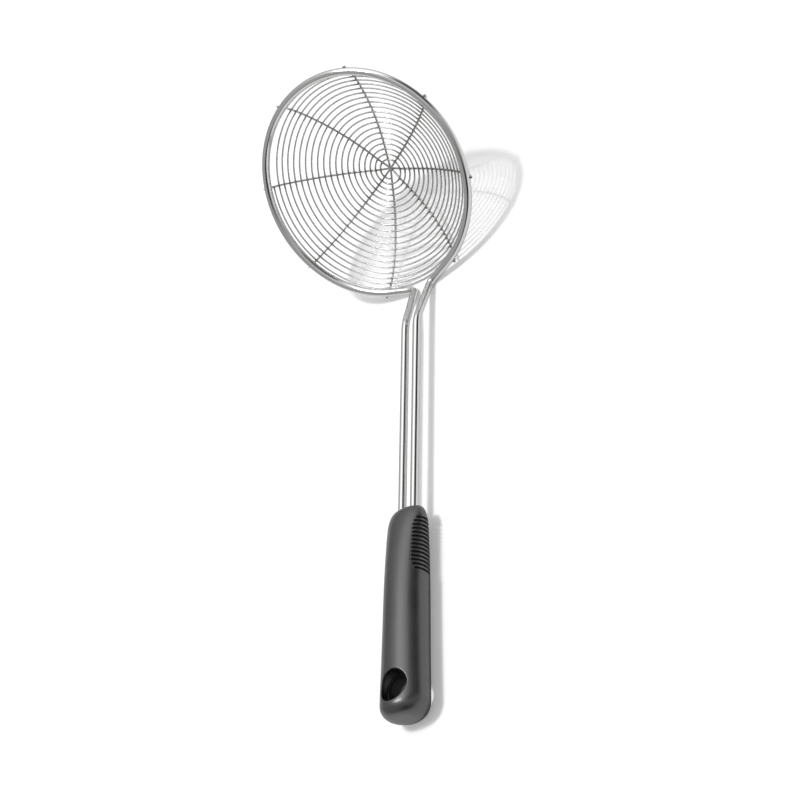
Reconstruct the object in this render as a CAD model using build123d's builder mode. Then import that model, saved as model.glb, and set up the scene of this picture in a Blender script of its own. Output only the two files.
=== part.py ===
"""Spider skimmer: a shallow wire basket on a two-rod neck, with a soft-grip handle.

The skimmer lies on its back, as on a table: the handle runs along Y and the basket
opens upwards and towards the handle. Z is 0 at the table, X is 0 on the plane of
symmetry, and Y is 0 midway between the handle's end and the basket's far side.
"""

import os
from itertools import combinations
from math import acos, asin, atan2, ceil, cos, degrees, dist, hypot, pi, radians, sin, sqrt, tan

from build123d import *

# Frame wire: the rim hoop, its neck and the two rods are one bent wire
rim_diameter = 128.0  # centre line of the hoop
frame_wire_diameter = 4.5
basket_tilt = 48.3  # degrees between the rim's plane and the handle
hoop_opening_angle = 18.0  # degrees from the handle line to where the hoop turns straight
mouth_width = 11.6  # between the centre lines of the two neck corners
neck_run = 29.0  # along the handle, from the neck corners to the rods' bend
neck_rise_angle = 17.9  # degrees that the neck climbs from the table
corner_bend_radius = 4.0
rod_bend_radius = 30.0
rod_pitch = 8.4
rod_length = 122.2  # bare rod from the bend to the grip
rod_end_to_ring = 17.8  # of the core, left solid between the rods and its ring
rod_end_chamfer = 0.5

# Basket: four rib wires crossing at the bottom, one spiral wire laid inside them
bowl_depth = 28.9  # from the rim's plane to the spiral wire's centre line
bowl_overhang = 4.9  # how far outside the rim the bowl's sphere would cross its plane
rib_wire_diameter = 1.2
rib_count = 4
rib_edge_width = 7.0  # from the rim's centre line to where a rib leaves the sphere
rib_tip_length = 1.5  # past the weld under the rim
rib_saddle_half_width = 9.0  # half the length over which crossing ribs dip
rib_first_dip = 0.25  # of the highest rib at the bottom, clear of the spiral's start
rib_stack_step = 0.85  # each rib at the bottom lies this much lower than the last
rib_saddle_radius = 5.0
rib_kink_radius = 12.0
spiral_wire_diameter = 1.0
spiral_start_radius = 4.83
spiral_turns = 19.25
spiral_start_angle = 247.5  # degrees, on the rib at the left of the handle
spiral_swell_share = 0.131  # how much wider the pitch is half way than on average
spiral_lean = 0.37  # how far the winding lies off the ribs' crossing
spiral_lean_angle = -69.0  # degrees, the way it lies
weld_gap = 0.05  # left between wires that are welded where they cross
rim_gap = 1.75  # between the last turn and the rim, before the lean
wire_sides = 8  # flats round a basket wire, which keep its many turns light
arcs_per_turn = 4
heading_share = 0.0001  # of the spiral, to each side of a point, to find its heading
gap_points_per_turn = 36
profile_points = 80  # of the bowl, to find how far it reaches

# Grip: a soft sleeve moulded over a rigid core
grip_length = 119.4
grip_thickness = 22.2
grip_top_width = 24.9
grip_middle_width = 26.0
grip_end_width = 29.2
shoulder_reach = 10.8  # seen from above
shoulder_width_share = 0.68  # left at the very top
taper_reach = 56.8  # seen from the side
taper_thickness_share = 0.38  # left at the very top
nose_reach = 9.9  # seen from above
nose_width_share = 0.33  # left at the very end
nose_side_reach = 6.5  # seen from the side
nose_thickness_share = 0.4  # left at the very end
hole_from_end = 15.4
hole_radius = 8.5
hole_edge_round = 0.9
fin_slot_count = 14
fin_slot_pitch = 2.36
fin_slot_width = 1.3
fin_slot_depth = 1.6
first_fin_slot = 8.8  # from the top of the grip
fin_slot_reach_share = 0.68  # of half the thickness, above and below the middle
fin_patch_squareness = 6  # higher is squarer
shoulder_sections = 5
barrel_sections = 9
nose_sections = 9

# Core: the rigid bar that holds the rods, with a ring that lines the hanging hole
core_start = 8.0  # from the top of the grip
core_side_wall = 2.4  # soft wall beside the core
core_face_wall = 3.0  # soft wall above and below the core
ring_bore_radius = 7.8
ring_wall = 4.4
ring_width = 8.0
rod_socket_clearance = 0.03
rod_socket_end_gap = 0.5

cut_overrun = 2.0

# Derived sizes
rim_radius = rim_diameter / 2
frame_wire_radius = frame_wire_diameter / 2
rib_radius = rib_wire_diameter / 2
spiral_radius = spiral_wire_diameter / 2
tilt = radians(basket_tilt)
grip_height = grip_thickness / 2
bowl_radius = ((rim_radius + bowl_overhang) ** 2 / bowl_depth + bowl_depth) / 2
sphere_height = bowl_radius - bowl_depth  # sphere's centre above the rim's plane
rib_turn_in_radius = rim_radius - rib_edge_width
rib_offset = spiral_radius + rib_radius + weld_gap
rib_sphere_radius = bowl_radius + rib_offset
rim_to_rib = frame_wire_radius + rib_radius + weld_gap


def straight_corner():
    """Place of a neck corner in the rim's plane, on the hoop's tangent."""
    leave = radians(hoop_opening_angle)
    across = mouth_width / 2
    along = rim_radius * cos(leave) + (rim_radius * sin(leave) - across) * tan(leave)
    return across, -along


corner_x, corner_y = straight_corner()


def corner_height():
    """Height of a neck corner, so that the bend beside it rests on the table."""
    leave = radians(hoop_opening_angle)
    inward = Vector(-cos(leave), -sin(leave) * cos(tilt), -sin(leave) * sin(tilt))
    narrowing = corner_x - rod_pitch / 2
    rise = neck_run * tan(radians(neck_rise_angle))
    outward = Vector(-narrowing, -neck_run, rise).normalized()
    turn = radians(inward.get_angle(outward))
    aside = (outward - inward * cos(turn)) / sin(turn)
    bend_start = -inward.Z * corner_bend_radius * tan(turn / 2)
    dip = corner_bend_radius * (aside.Z - hypot(inward.Z, aside.Z))
    return frame_wire_radius - bend_start - dip


rod_height = corner_height() + neck_run * tan(radians(neck_rise_angle))
rim_height = corner_height() - corner_y * sin(tilt)
bend_reach = corner_y * cos(tilt) - neck_run
grip_top_reach = bend_reach - rod_length
grip_end_reach = grip_top_reach - grip_length

# A rib's side profile: a long arc on the sphere, then a tighter one that meets the rim
turn_in_angle = asin(rib_turn_in_radius / rib_sphere_radius)
turn_in_height = sphere_height - rib_sphere_radius * cos(turn_in_angle)


def turn_in_radius():
    """Radius of the arc that is tangent to the rib's sphere and just touches the rim."""
    dx = rib_turn_in_radius - rim_radius
    dz = turn_in_height
    along = -dx * sin(turn_in_angle) + dz * cos(turn_in_angle)
    return (rim_to_rib**2 - dx**2 - dz**2) / (2 * (along + rim_to_rib))


edge_radius = turn_in_radius()
edge_x = rib_turn_in_radius - edge_radius * sin(turn_in_angle)
edge_z = turn_in_height + edge_radius * cos(turn_in_angle)
weld_angle = atan2(rim_radius - edge_x, edge_z)
tip_angle = weld_angle + rib_tip_length / edge_radius


def spiral_end_angle():
    """Angle on the edge arc where the spiral would come too near the rim."""
    to_rim = hypot(rim_radius - edge_x, edge_z)
    own = edge_radius - rib_offset
    keep = frame_wire_radius + spiral_radius + rim_gap
    return weld_angle - acos((to_rim**2 + own**2 - keep**2) / (2 * to_rim * own))


sphere_run = bowl_radius * turn_in_angle
spiral_start_run = bowl_radius * asin(spiral_start_radius / bowl_radius)
spiral_end_run = sphere_run + (edge_radius - rib_offset) * (spiral_end_angle() - turn_in_angle)


def bowl_point(run):
    """Distance from the axis and height at a run along the bowl's profile."""
    if run <= sphere_run:
        angle = run / bowl_radius
        return bowl_radius * sin(angle), sphere_height - bowl_radius * cos(angle)
    own = edge_radius - rib_offset
    angle = turn_in_angle + (run - sphere_run) / own
    return edge_x + own * sin(angle), edge_z - own * cos(angle)


def spiral_place(share):
    """Point of the spiral wire in the rim's frame, at a share of its turns."""
    swell = 2 * share**2 - 4 * share**3 / 3
    grown = share * (1 - 2 * spiral_swell_share / 3) + spiral_swell_share * swell
    angle = radians(spiral_start_angle) - 2 * pi * spiral_turns * share
    lean = spiral_lean * cos(angle - radians(spiral_lean_angle))
    run = spiral_start_run + (spiral_end_run - spiral_start_run) * grown + lean
    radius, height = bowl_point(run)
    return Vector(radius * cos(angle), radius * sin(angle), height)


def spiral_heading(share):
    """Unit tangent of the spiral wire at a share of its turns."""
    ahead = spiral_place(share + heading_share)
    return (ahead - spiral_place(share - heading_share)).normalized()


spiral_steps = ceil(spiral_turns * arcs_per_turn / 2)
spiral_shares = [step / spiral_steps for step in range(spiral_steps + 1)]
spiral_points = [spiral_place(share) for share in spiral_shares]


def basket_reach():
    """How far the basket reaches past the rim's centre, away from the handle."""
    runs = [spiral_end_run * step / profile_points for step in range(profile_points + 1)]
    profile = [bowl_point(run) for run in runs]
    wire = max(radius * cos(tilt) - height * sin(tilt) for radius, height in profile)
    return max(wire + spiral_radius, rim_radius * cos(tilt) + frame_wire_radius)


rim_y = -(basket_reach() + grip_end_reach) / 2
rim_plane = Plane(
    origin=(0, rim_y, rim_height),
    x_dir=(1, 0, 0),
    z_dir=(0, -sin(tilt), cos(tilt)),
)
bend_y = rim_y + bend_reach
grip_top_y = rim_y + grip_top_reach
hole_distance = grip_length - hole_from_end
rod_in_grip = hole_distance - ring_bore_radius - ring_wall - rod_end_to_ring
rod_end_y = grip_top_y - rod_in_grip
hole_y = grip_top_y - hole_distance


def in_rim(x, y, z=0.0):
    """A point given in the rim's frame, in the skimmer's frame."""
    return rim_plane.from_local_coords(Vector(x, y, z))


# Frame wire
def neck_points(side):
    """Corners of one rod, from its buried end to where the hoop's arc starts."""
    leave = radians(hoop_opening_angle)
    return [
        Vector(side * rod_pitch / 2, rod_end_y, rod_height),
        Vector(side * rod_pitch / 2, bend_y, rod_height),
        in_rim(side * corner_x, corner_y),
        in_rim(side * rim_radius * sin(leave), -rim_radius * cos(leave)),
    ]


left = neck_points(-1)
right = neck_points(1)
neck_bends = (rod_bend_radius, corner_bend_radius)
with BuildPart() as frame_wire:
    with BuildLine() as frame_path:
        FilletPolyline(*left, radius=neck_bends)
        ThreePointArc(left[-1], in_rim(0, rim_radius), right[-1])
        FilletPolyline(*reversed(right), radius=tuple(reversed(neck_bends)))
    with BuildSketch(Plane(origin=left[0], z_dir=(0, 1, 0))):
        Circle(frame_wire_radius)
    sweep(path=frame_path.wires()[0])
    chamfer(frame_wire.edges().group_by(Axis.Y)[0], rod_end_chamfer)


# Rib wires
def rib_plane(index):
    """Upright plane of a rib: its x runs across the bowl and its y along the bowl's axis."""
    angle = radians(90 / rib_count + 180 * index / rib_count)
    direction = in_rim(cos(angle), sin(angle)) - in_rim(0, 0)
    normal = in_rim(sin(angle), -cos(angle)) - in_rim(0, 0)
    return Plane(origin=in_rim(0, 0), x_dir=direction, z_dir=normal)


def rib_path(index):
    """One rib's centre line in its own plane, dipped by its place in the stack."""
    dip = rib_first_dip + index * rib_stack_step
    start = asin(rib_saddle_half_width / rib_sphere_radius)
    low = (0, sphere_height - rib_sphere_radius - dip)
    knee_height = sphere_height - rib_sphere_radius * cos(start)
    with BuildLine(rib_plane(index)) as path:
        for side in (-1, 1):
            knee = (side * rib_saddle_half_width, knee_height)
            Line(low, knee)
            CenterArc(
                (0, sphere_height),
                rib_sphere_radius,
                -90 + side * degrees(start),
                side * degrees(turn_in_angle - start),
            )
            CenterArc(
                (side * edge_x, edge_z),
                edge_radius,
                -90 + side * degrees(turn_in_angle),
                side * degrees(tip_angle - turn_in_angle),
            )
        knees = path.vertices().sort_by_distance(rib_plane(index).from_local_coords(low))
        fillet(knees[0], rib_saddle_radius)
        fillet(knees[1:3], rib_kink_radius)
    return path


def rib_wire(index, above):
    """A rib as a round wire, notched where it is welded to the rib above it."""
    path = rib_path(index).wires()[0]
    with BuildPart() as wire:
        with BuildSketch(Plane(origin=path @ 0, z_dir=path % 0)):
            RegularPolygon(rib_radius, wire_sides)
        sweep(path=path)
        if above:
            add(above.part, mode=Mode.SUBTRACT)
    return wire


ribs = []
for index in range(rib_count):
    ribs.append(rib_wire(index, ribs[-1] if ribs else None))


# Spiral wire
def arc_middle(start, heading, end):
    """Middle point of the arc that leaves start along heading and ends at end."""
    chord = end - start
    aside = heading - chord.normalized() * heading.dot(chord.normalized())
    if aside.length == 0:
        return (start + end) / 2
    angle = heading.get_angle(chord)
    bulge = chord.length / 2 * tan(radians(angle) / 2)
    return (start + end) / 2 + aside.normalized() * bulge


def joint_of(start, start_heading, end, end_heading):
    """Point where the two arcs of a biarc meet, with arms of equal length."""
    span = end - start
    both = span.dot(start_heading + end_heading)
    spread = 2 * (1 - start_heading.dot(end_heading))
    arm = (sqrt(both**2 + spread * span.dot(span)) - both) / spread
    return (start + end + (start_heading - end_heading) * arm) / 2


spiral_headings = [spiral_heading(share) for share in spiral_shares]
with BuildPart() as spiral_wire:
    with BuildLine() as spiral_path:
        for step in range(spiral_steps):
            start, end = spiral_points[step], spiral_points[step + 1]
            leave, arrive = spiral_headings[step], spiral_headings[step + 1]
            joint = joint_of(start, leave, end, arrive)
            first = [start, arc_middle(start, leave, joint), joint]
            second = [joint, arc_middle(end, -arrive, joint), end]
            ThreePointArc(*[in_rim(point.X, point.Y, point.Z) for point in first])
            ThreePointArc(*[in_rim(point.X, point.Y, point.Z) for point in second])
    spiral_line = spiral_path.wires()[0]
    with BuildSketch(Plane(origin=spiral_line @ 0, z_dir=spiral_line % 0)):
        RegularPolygon(spiral_radius, wire_sides)
    sweep(path=spiral_line)


def least_turn_gap():
    """Least clear gap of the spiral wire to itself, measured on points a turn apart."""
    count = ceil(spiral_turns * gap_points_per_turn)
    places = spiral_line.positions([index / count for index in range(count + 1)])
    points = [tuple(place) for place in places]
    apart = gap_points_per_turn // 2
    pairs = combinations(range(count + 1), 2)
    spans = [dist(points[one], points[two]) for one, two in pairs if two - one > apart]
    return min(spans) - spiral_wire_diameter


print(f"Least gap between the spiral's turns: {least_turn_gap():.2f} mm")


# Handle
def end_share(distance, reach, flat_share):
    """Share of the full size at a distance from a rounded end."""
    if distance >= reach:
        return 1.0
    return flat_share + (1 - flat_share) * sqrt(1 - (1 - distance / reach) ** 2)


def grip_half_width(distance):
    """Half width of the grip's unrounded outline: a parabola through three widths."""
    share = distance / grip_length
    start, middle, end = grip_top_width / 2, grip_middle_width / 2, grip_end_width / 2
    bend = 2 * (start + end - 2 * middle)
    return start + share * (end - start) + bend * share * (share - 1)


def grip_size(distance):
    """Half width and half thickness of the grip, at a distance from its top."""
    left_over = grip_length - distance
    wide = end_share(distance, shoulder_reach, shoulder_width_share)
    wide *= end_share(left_over, nose_reach, nose_width_share)
    thick = end_share(distance, taper_reach, taper_thickness_share)
    thick *= end_share(left_over, nose_side_reach, nose_thickness_share)
    return grip_half_width(distance) * wide, grip_thickness / 2 * thick


def handle_plane(distance):
    """Plane across the handle, at a distance from the top of the grip."""
    return Plane(origin=(0, grip_top_y - distance, grip_height), x_dir=(1, 0, 0), z_dir=(0, -1, 0))


def grip_stations():
    """Distances of the grip's sections, closer together where its ends round off."""
    barrel_end = grip_length - nose_reach
    barrel = barrel_end - shoulder_reach
    top = [1 - cos(pi / 2 * step / shoulder_sections) for step in range(shoulder_sections)]
    tail = [sin(pi / 2 * step / nose_sections) for step in range(1, nose_sections + 1)]
    distances = [shoulder_reach * share for share in top]
    distances += [shoulder_reach + barrel * step / barrel_sections for step in range(barrel_sections)]
    return distances + [barrel_end] + [barrel_end + nose_reach * share for share in tail]


hole_plane = Plane(origin=(0, hole_y, grip_height))
rod_offset = rod_height - grip_height
rod_places = [(side * rod_pitch / 2, rod_offset) for side in (-1, 1)]
with BuildPart() as grip_body:
    for distance in grip_stations():
        with BuildSketch(handle_plane(distance)):
            Ellipse(*grip_size(distance))
    loft()


def core_section(distance):
    """Half width and half thickness of the core's bar."""
    wide, thick = grip_size(distance)
    return wide - core_side_wall, thick - core_face_wall


core_end = hole_distance - ring_bore_radius
core_outer = ring_bore_radius + ring_wall
with BuildPart() as core_form:
    for distance in (core_start, (core_start + core_end) / 2, core_end):
        with BuildSketch(handle_plane(distance)):
            Ellipse(*core_section(distance))
    loft()
    with BuildSketch(hole_plane.offset(-ring_width / 2)):
        Circle(core_outer)
    extrude(amount=ring_width)

with BuildPart() as handle_core:
    add(core_form.part)
    with BuildSketch(handle_plane(core_start - cut_overrun)):
        with Locations(*rod_places):
            Circle(frame_wire_radius + rod_socket_clearance)
    extrude(amount=rod_in_grip + rod_socket_end_gap - core_start + cut_overrun, mode=Mode.SUBTRACT)
    with BuildSketch(hole_plane.offset(-grip_thickness)):
        Circle(ring_bore_radius)
    extrude(amount=2 * grip_thickness, mode=Mode.SUBTRACT)


def fin_slot_distance(index):
    """Distance of a slot between fins from the top of the grip."""
    return first_fin_slot + index * fin_slot_pitch


def fin_slot_reach(index):
    """Half height of a slot: the patch of fins narrows with the grip and has rounded ends."""
    place = (2 * index + 1 - fin_slot_count) / fin_slot_count
    full = grip_size(fin_slot_distance(index))[1] * fin_slot_reach_share
    return full * (1 - abs(place) ** fin_patch_squareness) ** (1 / fin_patch_squareness)


with BuildPart() as handle_grip:
    add(grip_body.part)
    with BuildSketch(hole_plane.offset(-grip_thickness)):
        Circle(hole_radius)
    extrude(amount=2 * grip_thickness, mode=Mode.SUBTRACT)
    hole_wall = handle_grip.faces().filter_by(GeomType.CYLINDER)
    fillet(hole_wall.edges().filter_by(GeomType.LINE, reverse=True), hole_edge_round)
    for index in range(fin_slot_count):
        distance = fin_slot_distance(index)
        wide, thick = grip_size(distance)
        with BuildSketch(handle_plane(distance - fin_slot_width / 2)):
            Rectangle(2 * (wide + cut_overrun), 2 * fin_slot_reach(index))
            Ellipse(wide - fin_slot_depth, thick - fin_slot_depth, mode=Mode.SUBTRACT)
        extrude(amount=fin_slot_width, mode=Mode.SUBTRACT)
    with BuildSketch(handle_plane(-cut_overrun)):
        with Locations(*rod_places):
            Circle(frame_wire_radius + rod_socket_clearance)
    extrude(amount=core_start + 2 * cut_overrun, mode=Mode.SUBTRACT)
    add(core_form.part, mode=Mode.SUBTRACT)


os.makedirs("parts", exist_ok=True)
pieces = {"frame_wire": frame_wire, "spiral_wire": spiral_wire}
pieces |= {f"rib_wire_{index + 1}": rib for index, rib in enumerate(ribs)}
pieces |= {"handle_core": handle_core, "handle_grip": handle_grip}
for name, piece in pieces.items():
    piece.part.label = name
    export_step(piece.part, f"parts/{name}.step")
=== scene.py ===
"""Spider skimmer: polished wires, welds and a soft rubber grip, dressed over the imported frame.

All lengths are in metres. The skimmer lies on its back: its handle runs along Y, its basket
is at the far end and opens upwards, and the table is at Z = 0.
"""

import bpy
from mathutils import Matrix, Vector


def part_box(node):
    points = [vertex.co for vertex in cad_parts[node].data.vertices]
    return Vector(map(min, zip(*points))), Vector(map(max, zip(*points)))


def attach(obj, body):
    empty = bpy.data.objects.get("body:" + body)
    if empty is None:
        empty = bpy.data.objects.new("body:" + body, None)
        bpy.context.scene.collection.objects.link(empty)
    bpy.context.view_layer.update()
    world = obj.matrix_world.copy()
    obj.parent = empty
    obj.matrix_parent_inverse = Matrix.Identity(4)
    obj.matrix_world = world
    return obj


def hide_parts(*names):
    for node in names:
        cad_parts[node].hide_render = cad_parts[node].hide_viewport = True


bl_info = {
    "name": "Spider Skimmer",
    "version": (1, 0, 0),
    "blender": (4, 5, 0),
    "location": "3D View > Sidebar > Skimmer",
    "description": "Makes a spider skimmer from its wires, welds and grip, with a plain stage",
    "category": "Add Mesh",
}

import bmesh
import bpy
import numpy as np
from bpy.props import FloatProperty, FloatVectorProperty, IntProperty, PointerProperty
from bpy.types import Operator, Panel, PropertyGroup
from mathutils import Euler

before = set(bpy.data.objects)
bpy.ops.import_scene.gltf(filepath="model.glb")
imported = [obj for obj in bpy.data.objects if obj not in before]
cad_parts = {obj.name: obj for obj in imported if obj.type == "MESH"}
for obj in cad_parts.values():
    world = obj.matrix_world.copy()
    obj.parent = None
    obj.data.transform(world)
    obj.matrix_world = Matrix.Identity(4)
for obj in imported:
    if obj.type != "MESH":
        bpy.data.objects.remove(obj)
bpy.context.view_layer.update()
wire_low, wire_high = (np.array(corner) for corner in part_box("frame_wire"))
grip_low, grip_high = (np.array(corner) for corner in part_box("handle_grip"))


# Sizes and colours


def length(name, default, description):
    """A size in metres."""
    return FloatProperty(name=name, description=description, default=default, min=0.0, unit="LENGTH")


def angle(name, default, description):
    """An angle, given in degrees and kept in radians."""
    return FloatProperty(name=name, description=description, default=np.radians(default), unit="ROTATION")


def share(name, default, description):
    """A part of a whole, from 0 to 1."""
    return FloatProperty(name=name, description=description, default=default, min=0.0, max=1.0)


def colour(name, default, description):
    """A colour, in linear light."""
    limits = {"min": 0.0, "max": 1.0, "subtype": "COLOR"}
    return FloatVectorProperty(name=name, description=description, default=default, **limits)


def level(name, default, description):
    """A number without a unit, such as a strength."""
    return FloatProperty(name=name, description=description, default=default, min=0.0)


def count(name, default, description):
    """A whole number, at least 1."""
    return IntProperty(name=name, description=description, default=default, min=1)


def vector(name, default, description, kind):
    """Three numbers: a place, a way or a turn."""
    return FloatVectorProperty(name=name, description=description, default=default, subtype=kind)


class FrameWireSizes(PropertyGroup):
    """The one bent wire that is the hoop, the neck and the two rods."""

    hoop_diameter: length("Hoop diameter", 0.12795, "Across the hoop, between the middles of its wire")
    wire_diameter: length("Wire diameter", 0.0045, "Thickness of the frame wire")
    tilt: angle("Tilt", 48.3, "Between the hoop's plane and the table")
    opening: angle("Opening", 18.0, "From the handle line to where the hoop turns straight")
    mouth_width: length("Mouth width", 0.0116, "Between the two corners where the neck meets the hoop")
    neck_run: length("Neck run", 0.029, "Length of the neck along the handle")
    neck_rise: angle("Neck rise", 17.9, "How steeply the neck climbs from the table")
    corner_bend: length("Corner bend", 0.004, "Bend radius at the hoop's corners")
    rod_bend: length("Rod bend", 0.030, "Bend radius between neck and rods")
    rod_pitch: length("Rod pitch", 0.0084, "Between the middles of the two rods")


class BasketSizes(PropertyGroup):
    """The spiral wire and the four rib wires that are welded across it."""

    depth: length("Bowl depth", 0.0289, "From the hoop's plane to the bottom")
    overhang: length("Bowl overhang", 0.0049, "How far outside the hoop the bowl's sphere would pass")
    edge_width: length("Edge width", 0.007, "Where the bowl's side turns up towards the hoop")
    spiral_wire: length("Spiral wire", 0.001, "Thickness of the spiral wire")
    spiral_start: length("Spiral start", 0.00483, "Distance of the spiral's first end from the middle")
    spiral_turns: level("Turns", 19.25, "Turns of the spiral")
    spiral_angle: angle("Spiral angle", 247.5, "Where the spiral starts")
    spiral_swell: share("Spiral swell", 0.131, "How much wider the turns are half way than on average")
    lean: length("Lean", 0.00037, "How far the winding lies off the ribs' crossing")
    lean_angle: angle("Lean angle", -69.0, "The way in which the winding lies off the crossing")
    rib_wire: length("Rib wire", 0.0012, "Thickness of a rib wire")
    rib_count: count("Ribs", 4, "Rib wires that cross at the bottom")
    rib_tip: length("Rib tip", 0.0015, "What sticks out past the weld under the hoop")
    # Painted shade: this darkens each rib all along towards the weld colour, not only at its welds
    rib_shade: share("Rib heat", 0.3, "How much welding has darkened the ribs")
    weld_heat: share("Weld heat", 0.75, "How much welding has darkened the spiral at a rib")
    heat_reach: level("Heat reach", 1.6, "How far along the spiral that goes, in rib wires")
    saddle_half: length("Saddle", 0.009, "Half the stretch over which a rib dips to cross the others")
    first_dip: length("First dip", 0.00025, "How far the highest rib dips at the bottom")
    stack_step: length("Stack step", 0.00085, "How much lower each further rib crosses")
    weld_gap: length("Weld gap", 0.00005, "Between two wires at their weld")
    rim_gap: length("Rim gap", 0.00175, "Between the last turn and the hoop, before the lean")


class GripSizes(PropertyGroup):
    """The soft grip and the rigid core inside it."""

    top_width: length("Top width", 0.0249, "Width of the grip at the rods, before its shoulder")
    middle_width: length("Middle width", 0.0260, "Width of the grip half way")
    end_width: length("End width", 0.0292, "Width of the grip at its rounded end")
    shoulder: length("Shoulder", 0.0108, "Over which the top rounds off, seen from above")
    shoulder_width: share("Shoulder width", 0.68, "Width left at the very top")
    taper: length("Taper", 0.0568, "Over which the grip thins to its top, seen from the side")
    taper_thickness: share("Taper thickness", 0.38, "Thickness left at the very top")
    nose: length("Nose", 0.0099, "Over which the end rounds off, seen from above")
    nose_width: share("Nose width", 0.33, "Width left at the very end")
    nose_side: length("Nose side", 0.0065, "Over which the end rounds off, seen from the side")
    nose_thickness: share("Nose thickness", 0.4, "Thickness left at the very end")
    top_shade: length("Top shade", 0.0009, "Over which the edge round the top face is in shade")
    hole_from_end: length("Hole from end", 0.0154, "From the hole's middle to the end")
    hole_radius: length("Hole radius", 0.0085, "Hanging hole in the soft grip")
    hole_round: length("Hole round", 0.0009, "Rounding of the hole's edge")
    joint_share: level("Joint", 1.6, "Where barrel and end meet: hole radii from the hole's middle")
    ring_bore: length("Ring bore", 0.0078, "Radius of the bore in the core's ring")
    ring_wall: length("Ring wall", 0.0044, "Wall of the core's ring")
    ring_width: length("Ring width", 0.008, "Length of the ring along the hole")
    core_start: length("Core start", 0.008, "From the top of the grip to the core")
    core_side_wall: length("Core side wall", 0.0024, "Soft wall beside the core")
    core_face_wall: length("Core face wall", 0.003, "Soft wall above and below the core")
    fin_slots: count("Fin slots", 14, "Slots between the finger fins on each side")
    slot_pitch: length("Slot pitch", 0.00236, "From one slot to the next")
    slot_width: length("Slot width", 0.0013, "Width of a slot")
    slot_depth: length("Slot depth", 0.0016, "Depth of a slot")
    slot_edge: length("Slot edge", 0.0003, "Softness of a slot's edge")
    first_slot: length("First slot", 0.0088, "From the top of the grip to the first slot")
    slot_reach: share("Slot reach", 0.68, "Height of a slot, of the grip's thickness there")
    patch_squareness: level("Patch squareness", 6.0, "Of the patch of slots: higher is squarer")


class SkimmerLooks(PropertyGroup):
    """Colours and finishes."""

    steel: colour("Steel", (0.72, 0.72, 0.715), "Polished stainless steel of the frame")
    steel_roughness: share("Steel roughness", 0.12, "Roughness of the frame's wire")
    basket_steel: colour("Basket steel", (0.70, 0.70, 0.695), "Drawn stainless steel of the basket")
    basket_roughness: share("Basket roughness", 0.24, "Roughness of the basket's wires")
    weld: colour("Weld", (0.16, 0.15, 0.145), "Steel darkened by the heat of a weld")
    rubber: colour("Rubber", (0.009, 0.009, 0.0095), "Soft black rubber")
    rubber_roughness: share("Rubber roughness", 0.33, "Roughness of the rubber")
    rubber_sheen: share("Rubber sheen", 1.0, "How strongly the rubber mirrors")
    rubber_ior: level("Rubber IOR", 1.65, "Index of refraction of the rubber")
    core: colour("Core", (0.006, 0.006, 0.007), "Rigid plastic inside the grip")
    core_sheen: share("Core sheen", 0.25, "How strongly the core's plastic mirrors")


class StageSizes(PropertyGroup):
    """The floor, the light and the camera."""

    floor_width: length("Floor width", 12.0, "Side of the floor")
    floor: colour("Floor", (0.86, 0.86, 0.86), "Colour of the floor")
    lift: share("Lift", 0.25, "Light of its own that the floor shows the camera, so that it is white")
    sky: level("Sky", 0.41, "Strength of the soft light from all round")
    room: level("Room", 0.36, "Strength of the room in reflections")
    ceiling: level("Ceiling", 0.82, "Strength of the ceiling in reflections")
    softbox: level("Softbox", 1.5, "Strength of the soft box in reflections")
    dark: level("Dark", 0.0, "Strength of the black cards in reflections")
    dusk: level("Dusk", 0.17, "Strength of the room's right side in reflections")
    pale: level("Pale", 0.44, "Strength of the room's left side in reflections")
    lamp: level("Lamp", 1.85, "Strength of both overhead lamps")
    lamp_share: share("Lamp share", 0.42, "Part of that strength that the small lamp gives")
    lamp_lean: vector("Lamp lean", (0.1205, -0.0893, -1.0), "Way of the lamps' light", "DIRECTION")
    lamp_angle: angle("Lamp angle", 3.0, "How wide the small lamp looks from the table")
    soft_angle: angle("Soft angle", 20.0, "How wide the soft lamp looks from the table")
    camera_place: vector("Camera place", (0.7211, -0.8194, 0.7351), "From the hoop's middle",
                         "TRANSLATION")
    camera_turn: vector("Camera turn", (0.59445, 0.74486, 0.02013), "How the camera is turned", "EULER")
    lens: level("Lens", 105.66, "Focal length in millimetres")


# Fineness: steps in metres, and points round each wire

arc_step, frame_step, rib_step, slot_step = 0.0005, 0.0012, 0.0008, 0.00011
rib_softness = 0.0016
hoop_points, points_per_turn, grip_columns = 400, 96, 128
frame_sides, spiral_sides, rib_sides = 40, 12, 16

# Shares: a weld's reach along, across and out of a wire, and a cut end's rounding, of its radius; the
# fade into the hole's shade, of its edge's rounding; the squareness of the section of the core's ring

spiral_weld, hoop_weld = (1.25, 1.15, 0.62), (2.4, 1.5, 0.8)
cut_round, hole_fade, ring_squareness = 0.45, 0.3, 1.5

# Noise scales, in waves to a metre; the lines have one along the wire and one round it

steel_lines = (60.0, 9000.0, 1.0)
steel_clouds, rubber_clouds = 90.0, 70.0
rubber_grain, core_grain, weld_grain = 1400.0, 500.0, 1800.0


# Surfaces


def unit(vectors):
    """Each vector divided by its own length."""
    return vectors / np.linalg.norm(vectors, axis=-1, keepdims=True)


def run_along(path):
    """Distance along a path at each of its points: the steps added up."""
    steps = np.linalg.norm(np.diff(path, axis=0), axis=1)
    return np.concatenate([[0.0], np.cumsum(steps)])


def even_steps(path, step):
    """The path again, with its points an even step apart."""
    run = run_along(path)
    places = np.linspace(0.0, run[-1], int(np.ceil(run[-1] / step)) + 1)
    return np.stack([np.interp(places, run, path[:, axis]) for axis in range(3)], axis=1)


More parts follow.
